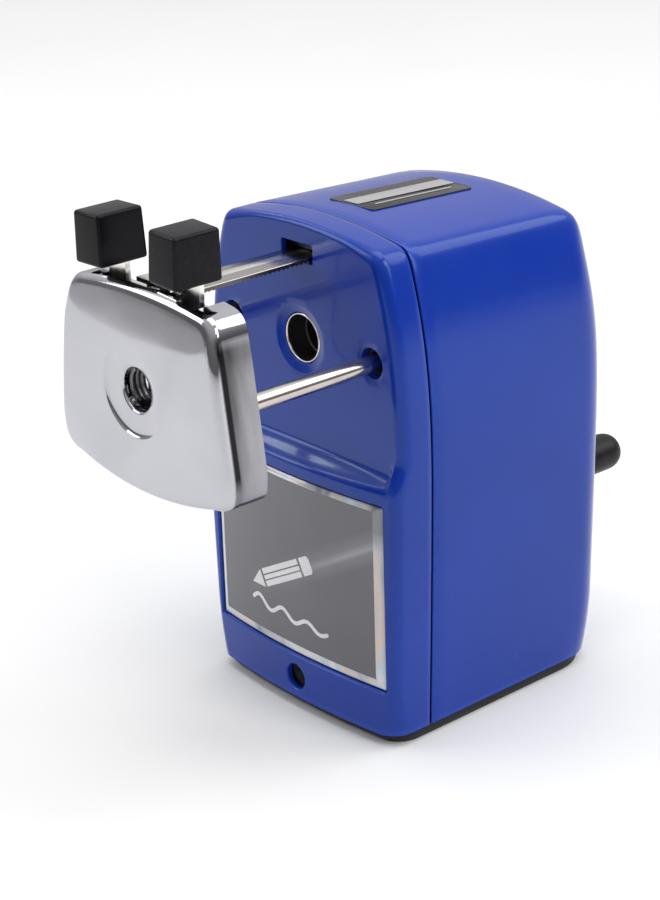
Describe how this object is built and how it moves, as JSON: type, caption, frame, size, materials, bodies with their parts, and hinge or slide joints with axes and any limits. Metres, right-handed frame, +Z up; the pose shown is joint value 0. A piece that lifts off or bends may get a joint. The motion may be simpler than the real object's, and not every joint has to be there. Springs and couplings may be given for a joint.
{
  "type": "pencil sharpener",
  "caption": "hand-cranked desk pencil sharpener: painted metal case with a sliding chromed clamp front, squeeze levers, rear crank and a smoked shavings drawer",
  "frame": {"origin": "centre of the housing's underside, on the surface it stands on, midway between the housing's front and back", "axes": "+X right seen from the front, +Y from the chromed clamp at the front to the crank at the back, +Z up"},
  "size_m": [0.061, 0.1266, 0.1168],
  "materials": {
    "blue_paint": "gloss enamel over a metal case",
    "chrome_plate": "mirror chrome plate with light wear",
    "bright_steel": "bright nickel-plated steel",
    "spring_steel": "spring steel",
    "zinc": "zinc-plated steel and zinc castings",
    "cutter_steel": "hardened tool steel",
    "black_plastic": "satin black plastic",
    "cap_plastic": "semi-gloss black plastic",
    "rubber": "matt black rubber",
    "smoked_plastic": "smoked clear plastic",
    "label_film": "printed foil label with a plain stripe"
  },
  "bodies": {
    "housing": {"front_case": "blue_paint", "cover_shell": "blue_paint", "base_plate": "black_plastic", "rubber_sole": "rubber", "base_screw_front_left": "zinc", "base_screw_front_right": "zinc", "base_screw_rear_left": "zinc", "base_screw_rear_right": "zinc", "clamp_socket": "zinc", "pencil_guide_bush": "bright_steel", "rod_bush_left": "black_plastic", "rod_bush_right": "black_plastic", "rail_guide": "black_plastic", "rail_latch_spring": "spring_steel", "gear_ring": "zinc", "gear_ring_screw_1": "zinc", "gear_ring_screw_2": "zinc", "gear_ring_screw_3": "zinc", "rear_flange": "black_plastic", "top_label": "label_film"},
    "feed_carriage": {"faceplate_cover": "chrome_plate", "clamp_plate": "bright_steel", "guide_rod_left": "bright_steel", "guide_rod_right": "bright_steel", "rod_clip_left": "spring_steel", "rod_clip_right": "spring_steel", "lever_pin_left": "bright_steel", "lever_pin_right": "bright_steel", "plate_screw_left": "zinc", "plate_screw_right": "zinc", "latch_rail": "bright_steel", "grip_spring": "spring_steel", "feed_spring_left": "spring_steel", "feed_spring_right": "spring_steel"},
    "left_lever": {"lever_strip_left": "bright_steel", "lever_cap_left": "cap_plastic", "jaw_left": "cutter_steel"},
    "right_lever": {"lever_strip_right": "bright_steel", "lever_cap_right": "cap_plastic", "jaw_right": "cutter_steel"},
    "crank": {"crank_shaft": "bright_steel", "cutter_carrier": "black_plastic", "cutter_spindle": "bright_steel", "crank_arm": "chrome_plate", "crank_screw": "bright_steel", "knob_pin": "bright_steel"},
    "knob": {"crank_knob": "cap_plastic"},
    "cutter": {"helical_cutter": "cutter_steel", "cutter_pinion": "zinc"},
    "drawer": {"drawer_window": "smoked_plastic", "drawer_bin": "smoked_plastic"}
  },
  "joints": [
    {"name": "feed_slide", "type": "slide", "parent": "housing", "child": "feed_carriage", "axis": [0, 1, 0], "range_m": [0, 0.0306], "deforming": ["feed_spring_left", "feed_spring_right"]},
    {"name": "left_lever_hinge", "type": "hinge", "parent": "feed_carriage", "child": "left_lever", "pos_m": [-0.011, -0.0632, 0.092], "axis": [0, 1, 0], "range_deg": [0, 8], "stiffness_Nm_per_rad": 0.3, "deforming": ["grip_spring"]},
    {"name": "right_lever_hinge", "type": "hinge", "parent": "feed_carriage", "child": "right_lever", "pos_m": [0.011, -0.0632, 0.092], "axis": [0, -1, 0], "range_deg": [0, 8]},
    {"name": "crank_turn", "type": "hinge", "parent": "housing", "child": "crank", "pos_m": [0, 0.0374, 0.0828], "axis": [0, 1, 0], "continuous": true},
    {"name": "knob_spin", "type": "hinge", "parent": "crank", "child": "knob", "pos_m": [0.01042, 0.0469, 0.03769], "axis": [0, 1, 0], "continuous": true},
    {"name": "cutter_spin", "type": "hinge", "parent": "crank", "child": "cutter", "pos_m": [0, -0.0148, 0.072], "axis": [0, 0.989, 0.1478], "continuous": true},
    {"name": "drawer_slide", "type": "slide", "parent": "housing", "child": "drawer", "axis": [0, -1, 0], "range_m": [0, 0.042]}
  ],
  "couplings": [
    {"joint": "right_lever_hinge", "follows": "left_lever_hinge", "ratio": 1},
    {"joint": "cutter_spin", "follows": "crank_turn", "ratio": -3.4545}
  ]
}
